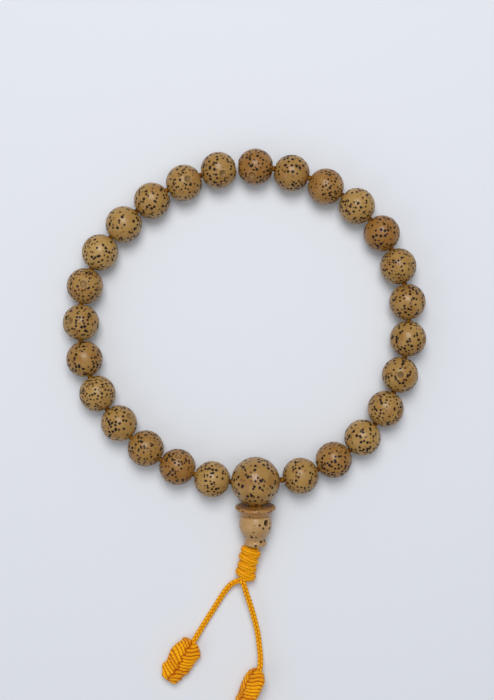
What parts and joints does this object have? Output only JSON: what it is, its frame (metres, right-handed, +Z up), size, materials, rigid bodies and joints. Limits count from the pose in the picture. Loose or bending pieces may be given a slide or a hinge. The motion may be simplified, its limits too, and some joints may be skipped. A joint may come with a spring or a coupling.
{
  "type": "wrist mala",
  "caption": "Wrist prayer beads: small round seed beads and a larger guru bead on a braided cord, with a turned stupa, a snake knot and two knotted tails.",
  "frame": {"origin": "on the surface the mala lies on, under the middle of the beads, guru and stupa", "axes": "+Z up, +X to the right, -Y along the stupa and tassel, seen from above"},
  "size_m": [0.0804, 0.125, 0.0108],
  "materials": {
    "bead_seed": "polished seed, satin",
    "guru_seed": "polished seed, satin",
    "stupa_seed": "turned seed, satin",
    "cord": "braided nylon cord"
  },
  "bodies": {
    "guru": {"guru_bead": "guru_seed", "guru_cord": "cord"},
    "cord_01": {"cord_link_01": "cord"},
    "cord_02": {"cord_link_02": "cord"},
    "cord_03": {"cord_link_03": "cord", "cord_link_04": "cord"},
    "cord_05": {"cord_link_05": "cord"},
    "cord_06": {"cord_link_06": "cord"},
    "cord_07": {"cord_link_07": "cord"},
    "cord_08": {"cord_link_08": "cord"},
    "cord_09": {"cord_link_09": "cord"},
    "cord_10": {"cord_link_10": "cord", "cord_link_11": "cord"},
    "cord_12": {"cord_link_12": "cord"},
    "cord_13": {"cord_link_13": "cord"},
    "cord_14": {"cord_link_14": "cord"},
    "cord_15": {"cord_link_15": "cord"},
    "cord_16": {"cord_link_16": "cord"},
    "cord_18": {"cord_link_17": "cord", "cord_link_18": "cord"},
    "cord_19": {"cord_link_19": "cord"},
    "cord_20": {"cord_link_20": "cord"},
    "cord_21": {"cord_link_21": "cord"},
    "cord_22": {"cord_link_22": "cord"},
    "cord_23": {"cord_link_23": "cord"},
    "cord_25": {"cord_link_24": "cord", "cord_link_25": "cord"},
    "cord_26": {"cord_link_26": "cord"},
    "bead_01": {"bead_01": "bead_seed"},
    "bead_02": {"bead_02": "bead_seed"},
    "bead_03": {"bead_03": "bead_seed"},
    "bead_04": {"bead_04": "bead_seed"},
    "bead_05": {"bead_05": "bead_seed"},
    "bead_06": {"bead_06": "bead_seed"},
    "bead_07": {"bead_07": "bead_seed"},
    "bead_08": {"bead_08": "bead_seed"},
    "bead_09": {"bead_09": "bead_seed"},
    "bead_10": {"bead_10": "bead_seed"},
    "bead_11": {"bead_11": "bead_seed"},
    "bead_12": {"bead_12": "bead_seed"},
    "bead_13": {"bead_13": "bead_seed"},
    "bead_14": {"bead_14": "bead_seed"},
    "bead_15": {"bead_15": "bead_seed"},
    "bead_16": {"bead_16": "bead_seed"},
    "bead_17": {"bead_17": "bead_seed"},
    "bead_18": {"bead_18": "bead_seed"},
    "bead_19": {"bead_19": "bead_seed"},
    "bead_20": {"bead_20": "bead_seed"},
    "bead_21": {"bead_21": "bead_seed"},
    "bead_22": {"bead_22": "bead_seed"},
    "bead_23": {"bead_23": "bead_seed"},
    "bead_24": {"bead_24": "bead_seed"},
    "bead_25": {"bead_25": "bead_seed"},
    "bead_26": {"bead_26": "bead_seed"},
    "stem": {"knotted_stem": "cord"},
    "stupa": {"stupa": "stupa_seed"},
    "left_tail": {"tail_left": "cord", "end_knot_left": "cord"},
    "right_tail": {"tail_right": "cord", "end_knot_right": "cord"}
  },
  "joints": [
    {"name": "loop_bend_01", "type": "hinge", "parent": "guru", "child": "cord_01", "pos_m": [-0.00313, -0.02961, 0.004], "axis": [0, 0, -1], "range_deg": [-6, 6]},
    {"name": "loop_bend_02", "type": "hinge", "parent": "cord_01", "child": "cord_02", "pos_m": [-0.01112, -0.02798, 0.004], "axis": [0, 0, -1], "range_deg": [-5.56, 5.56]},
    {"name": "loop_bend_03", "type": "hinge", "parent": "cord_02", "child": "cord_03", "pos_m": [-0.01858, -0.02471, 0.004], "axis": [0, 0, -1], "range_deg": [-3.33, 3.33]},
    {"name": "loop_bend_05", "type": "hinge", "parent": "cord_03", "child": "cord_05", "pos_m": [-0.03038, -0.01361, 0.004], "axis": [0, 0, -1], "range_deg": [-2.36, 2.36]},
    {"name": "loop_bend_06", "type": "hinge", "parent": "cord_05", "child": "cord_06", "pos_m": [-0.03417, -0.00639, 0.004], "axis": [0, 0, -1], "range_deg": [-4.6, 4.6]},
    {"name": "loop_bend_07", "type": "hinge", "parent": "cord_06", "child": "cord_07", "pos_m": [-0.03619, 0.0015, 0.004], "axis": [0, 0, -1], "range_deg": [-5.8, 5.8]},
    {"name": "loop_bend_08", "type": "hinge", "parent": "cord_07", "child": "cord_08", "pos_m": [-0.03613, 0.00965, 0.004], "axis": [0, 0, -1], "range_deg": [-5.71, 5.71]},
    {"name": "loop_bend_09", "type": "hinge", "parent": "cord_08", "child": "cord_09", "pos_m": [-0.03384, 0.01746, 0.004], "axis": [0, 0, -1], "range_deg": [-4.39, 4.39]},
    {"name": "loop_bend_10", "type": "hinge", "parent": "cord_09", "child": "cord_10", "pos_m": [-0.02958, 0.0244, 0.004], "axis": [0, 0, -1], "range_deg": [-2.13, 2.13]},
    {"name": "loop_bend_12", "type": "hinge", "parent": "cord_10", "child": "cord_12", "pos_m": [-0.01711, 0.0348, 0.004], "axis": [0, 0, -1], "range_deg": [-3.29, 3.29]},
    {"name": "loop_bend_13", "type": "hinge", "parent": "cord_12", "child": "cord_13", "pos_m": [-0.00965, 0.0381, 0.004], "axis": [0, 0, -1], "range_deg": [-5.25, 5.25]},
    {"name": "loop_bend_26", "type": "hinge", "parent": "guru", "child": "cord_26", "pos_m": [0.00841, -0.02921, 0.004], "axis": [0, 0, 1], "range_deg": [-5.97, 5.97]},
    {"name": "loop_bend_25", "type": "hinge", "parent": "cord_26", "child": "cord_25", "pos_m": [0.01622, -0.02689, 0.004], "axis": [0, 0, 1], "range_deg": [-3.99, 3.99]},
    {"name": "loop_bend_23", "type": "hinge", "parent": "cord_25", "child": "cord_23", "pos_m": [0.02889, -0.01688, 0.004], "axis": [0, 0, 1], "range_deg": [-1.45, 1.45]},
    {"name": "loop_bend_22", "type": "hinge", "parent": "cord_23", "child": "cord_22", "pos_m": [0.03297, -0.00982, 0.004], "axis": [0, 0, 1], "range_deg": [-3.78, 3.78]},
    {"name": "loop_bend_21", "type": "hinge", "parent": "cord_22", "child": "cord_21", "pos_m": [0.03543, -0.00205, 0.004], "axis": [0, 0, 1], "range_deg": [-5.28, 5.28]},
    {"name": "loop_bend_20", "type": "hinge", "parent": "cord_21", "child": "cord_20", "pos_m": [0.03628, 0.00606, 0.004], "axis": [0, 0, 1], "range_deg": [-5.71, 5.71]},
    {"name": "loop_bend_19", "type": "hinge", "parent": "cord_20", "child": "cord_19", "pos_m": [0.03535, 0.01416, 0.004], "axis": [0, 0, 1], "range_deg": [-5.02, 5.02]},
    {"name": "loop_bend_18", "type": "hinge", "parent": "cord_19", "child": "cord_18", "pos_m": [0.03247, 0.02178, 0.004], "axis": [0, 0, 1], "range_deg": [-3.34, 3.34]},
    {"name": "loop_bend_16", "type": "hinge", "parent": "cord_18", "child": "cord_16", "pos_m": [0.02157, 0.03373, 0.004], "axis": [0, 0, 1], "range_deg": [-1.74, 1.74]},
    {"name": "loop_bend_15", "type": "hinge", "parent": "cord_16", "child": "cord_15", "pos_m": [0.01435, 0.03751, 0.004], "axis": [0, 0, 1], "range_deg": [-4.09, 4.09]},
    {"name": "loop_bend_14", "type": "hinge", "parent": "cord_15", "child": "cord_14", "pos_m": [0.00647, 0.03959, 0.004], "axis": [0, 0, 1], "range_deg": [-5.67, 5.67]},
    {"name": "tassel_swing", "type": "hinge", "parent": "guru", "child": "stem", "pos_m": [0.00242, -0.02942, 0.0054], "axis": [0, 0, 1], "range_deg": [-8, 8]},
    {"name": "stupa_spin", "type": "hinge", "parent": "stem", "child": "stupa", "pos_m": [0.00242, -0.02942, 0.0054], "axis": [0, -0.9901, -0.1401], "continuous": true},
    {"name": "left_tail_swing", "type": "hinge", "parent": "stem", "child": "left_tail", "pos_m": [-0.00108, -0.05171, 0.00175], "axis": [0, 0, 1], "range_deg": [-20, 8]},
    {"name": "right_tail_swing", "type": "hinge", "parent": "stem", "child": "right_tail", "pos_m": [-0.00048, -0.05171, 0.00305], "axis": [0, 0, 1], "range_deg": [-8, 20]},
    {"name": "bead_spin_01", "type": "hinge", "parent": "cord_01", "child": "bead_01", "pos_m": [-0.00718, -0.02909, 0.004], "axis": [-0.9798, 0.1999, 0], "continuous": true},
    {"name": "bead_spin_02", "type": "hinge", "parent": "cord_02", "child": "bead_02", "pos_m": [-0.01485, -0.02635, 0.004], "axis": [-0.9156, 0.402, 0], "continuous": true},
    {"name": "bead_spin_03", "type": "hinge", "parent": "cord_03", "child": "bead_03", "pos_m": [-0.02184, -0.02227, 0.004], "axis": [-0.8012, 0.5984, 0], "continuous": true},
    {"name": "bead_spin_04", "type": "hinge", "parent": "cord_03", "child": "bead_04", "pos_m": [-0.02775, -0.01672, 0.004], "axis": [-0.6468, 0.7626, 0], "continuous": true},
    {"name": "bead_spin_05", "type": "hinge", "parent": "cord_05", "child": "bead_05", "pos_m": [-0.03254, -0.01014, 0.004], "axis": [-0.4642, 0.8857, 0], "continuous": true},
    {"name": "bead_spin_06", "type": "hinge", "parent": "cord_06", "child": "bead_06", "pos_m": [-0.03538, -0.0025, 0.004], "axis": [-0.2481, 0.9687, 0], "continuous": true},
    {"name": "bead_spin_07", "type": "hinge", "parent": "cord_07", "child": "bead_07", "pos_m": [-0.03616, 0.00557, 0.004], "axis": [0.0075, 1, 0], "continuous": true},
    {"name": "bead_spin_08", "type": "hinge", "parent": "cord_08", "child": "bead_08", "pos_m": [-0.03527, 0.01364, 0.004], "axis": [0.2805, 0.9599, 0], "continuous": true},
    {"name": "bead_spin_09", "type": "hinge", "parent": "cord_09", "child": "bead_09", "pos_m": [-0.03197, 0.02109, 0.004], "axis": [0.5237, 0.8519, 0], "continuous": true},
    {"name": "bead_spin_10", "type": "hinge", "parent": "cord_10", "child": "bead_10", "pos_m": [-0.02671, 0.0273, 0.004], "axis": [0.7036, 0.7106, 0], "continuous": true},
    {"name": "bead_spin_11", "type": "hinge", "parent": "cord_10", "child": "bead_11", "pos_m": [-0.02047, 0.0325, 0.004], "axis": [0.8253, 0.5647, 0], "continuous": true},
    {"name": "bead_spin_12", "type": "hinge", "parent": "cord_12", "child": "bead_12", "pos_m": [-0.01338, 0.03645, 0.004], "axis": [0.9143, 0.405, 0], "continuous": true},
    {"name": "bead_spin_13", "type": "hinge", "parent": "cord_13", "child": "bead_13", "pos_m": [-0.00573, 0.03924, 0.004], "axis": [0.9783, 0.207, 0], "continuous": true},
    {"name": "bead_spin_14", "type": "hinge", "parent": "cord_14", "child": "bead_14", "pos_m": [0.00241, 0.03999, 0.004], "axis": [0.9997, -0.0243, 0], "continuous": true},
    {"name": "bead_spin_15", "type": "hinge", "parent": "cord_15", "child": "bead_15", "pos_m": [0.01043, 0.03864, 0.004], "axis": [0.9668, -0.2555, 0], "continuous": true},
    {"name": "bead_spin_16", "type": "hinge", "parent": "cord_16", "child": "bead_16", "pos_m": [0.01796, 0.03562, 0.004], "axis": [0.8858, -0.4641, 0], "continuous": true},
    {"name": "bead_spin_17", "type": "hinge", "parent": "cord_18", "child": "bead_17", "pos_m": [0.02486, 0.0313, 0.004], "axis": [0.7589, -0.6513, 0], "continuous": true},
    {"name": "bead_spin_18", "type": "hinge", "parent": "cord_18", "child": "bead_18", "pos_m": [0.03036, 0.02527, 0.004], "axis": [0.5791, -0.8153, 0], "continuous": true},
    {"name": "bead_spin_19", "type": "hinge", "parent": "cord_19", "child": "bead_19", "pos_m": [0.034, 0.018, 0.004], "axis": [0.3533, -0.9355, 0], "continuous": true},
    {"name": "bead_spin_20", "type": "hinge", "parent": "cord_20", "child": "bead_20", "pos_m": [0.03603, 0.01013, 0.004], "axis": [0.1144, -0.9934, 0], "continuous": true},
    {"name": "bead_spin_21", "type": "hinge", "parent": "cord_21", "child": "bead_21", "pos_m": [0.03616, 0.00198, 0.004], "axis": [-0.1045, -0.9945, 0], "continuous": true},
    {"name": "bead_spin_22", "type": "hinge", "parent": "cord_22", "child": "bead_22", "pos_m": [0.0344, -0.006, 0.004], "axis": [-0.3025, -0.9532, 0], "continuous": true},
    {"name": "bead_spin_23", "type": "hinge", "parent": "cord_23", "child": "bead_23", "pos_m": [0.03119, -0.0135, 0.004], "axis": [-0.4999, -0.8661, 0], "continuous": true},
    {"name": "bead_spin_24", "type": "hinge", "parent": "cord_25", "child": "bead_24", "pos_m": [0.02612, -0.01986, 0.004], "axis": [-0.6966, -0.7175, 0], "continuous": true},
    {"name": "bead_spin_25", "type": "hinge", "parent": "cord_25", "child": "bead_25", "pos_m": [0.01972, -0.02481, 0.004], "axis": [-0.8593, -0.5114, 0], "continuous": true},
    {"name": "bead_spin_26", "type": "hinge", "parent": "cord_26", "child": "bead_26", "pos_m": [0.0124, -0.02834, 0.004], "axis": [-0.9585, -0.2851, 0], "continuous": true}
  ],
  "couplings": [
    {"joint": "loop_bend_02", "follows": "loop_bend_01", "ratio": 0.924},
    {"joint": "loop_bend_03", "follows": "loop_bend_01", "ratio": 0.552},
    {"joint": "loop_bend_05", "follows": "loop_bend_01", "ratio": -0.39},
    {"joint": "loop_bend_06", "follows": "loop_bend_01", "ratio": -0.763},
    {"joint": "loop_bend_07", "follows": "loop_bend_01", "ratio": -0.963},
    {"joint": "loop_bend_08", "follows": "loop_bend_01", "ratio": -0.949},
    {"joint": "loop_bend_09", "follows": "loop_bend_01", "ratio": -0.728},
    {"joint": "loop_bend_10", "follows": "loop_bend_01", "ratio": -0.351},
    {"joint": "loop_bend_12", "follows": "loop_bend_01", "ratio": 0.545},
    {"joint": "loop_bend_13", "follows": "loop_bend_01", "ratio": 0.871},
    {"joint": "loop_bend_26", "follows": "loop_bend_01", "ratio": 0.991},
    {"joint": "loop_bend_25", "follows": "loop_bend_01", "ratio": 0.662},
    {"joint": "loop_bend_23", "follows": "loop_bend_01", "ratio": -0.239},
    {"joint": "loop_bend_22", "follows": "loop_bend_01", "ratio": -0.626},
    {"joint": "loop_bend_21", "follows": "loop_bend_01", "ratio": -0.876},
    {"joint": "loop_bend_20", "follows": "loop_bend_01", "ratio": -0.949},
    {"joint": "loop_bend_19", "follows": "loop_bend_01", "ratio": -0.834},
    {"joint": "loop_bend_18", "follows": "loop_bend_01", "ratio": -0.554},
    {"joint": "loop_bend_16", "follows": "loop_bend_01", "ratio": 0.286},
    {"joint": "loop_bend_15", "follows": "loop_bend_01", "ratio": 0.679},
    {"joint": "loop_bend_14", "follows": "loop_bend_01", "ratio": 0.941}
  ]
}
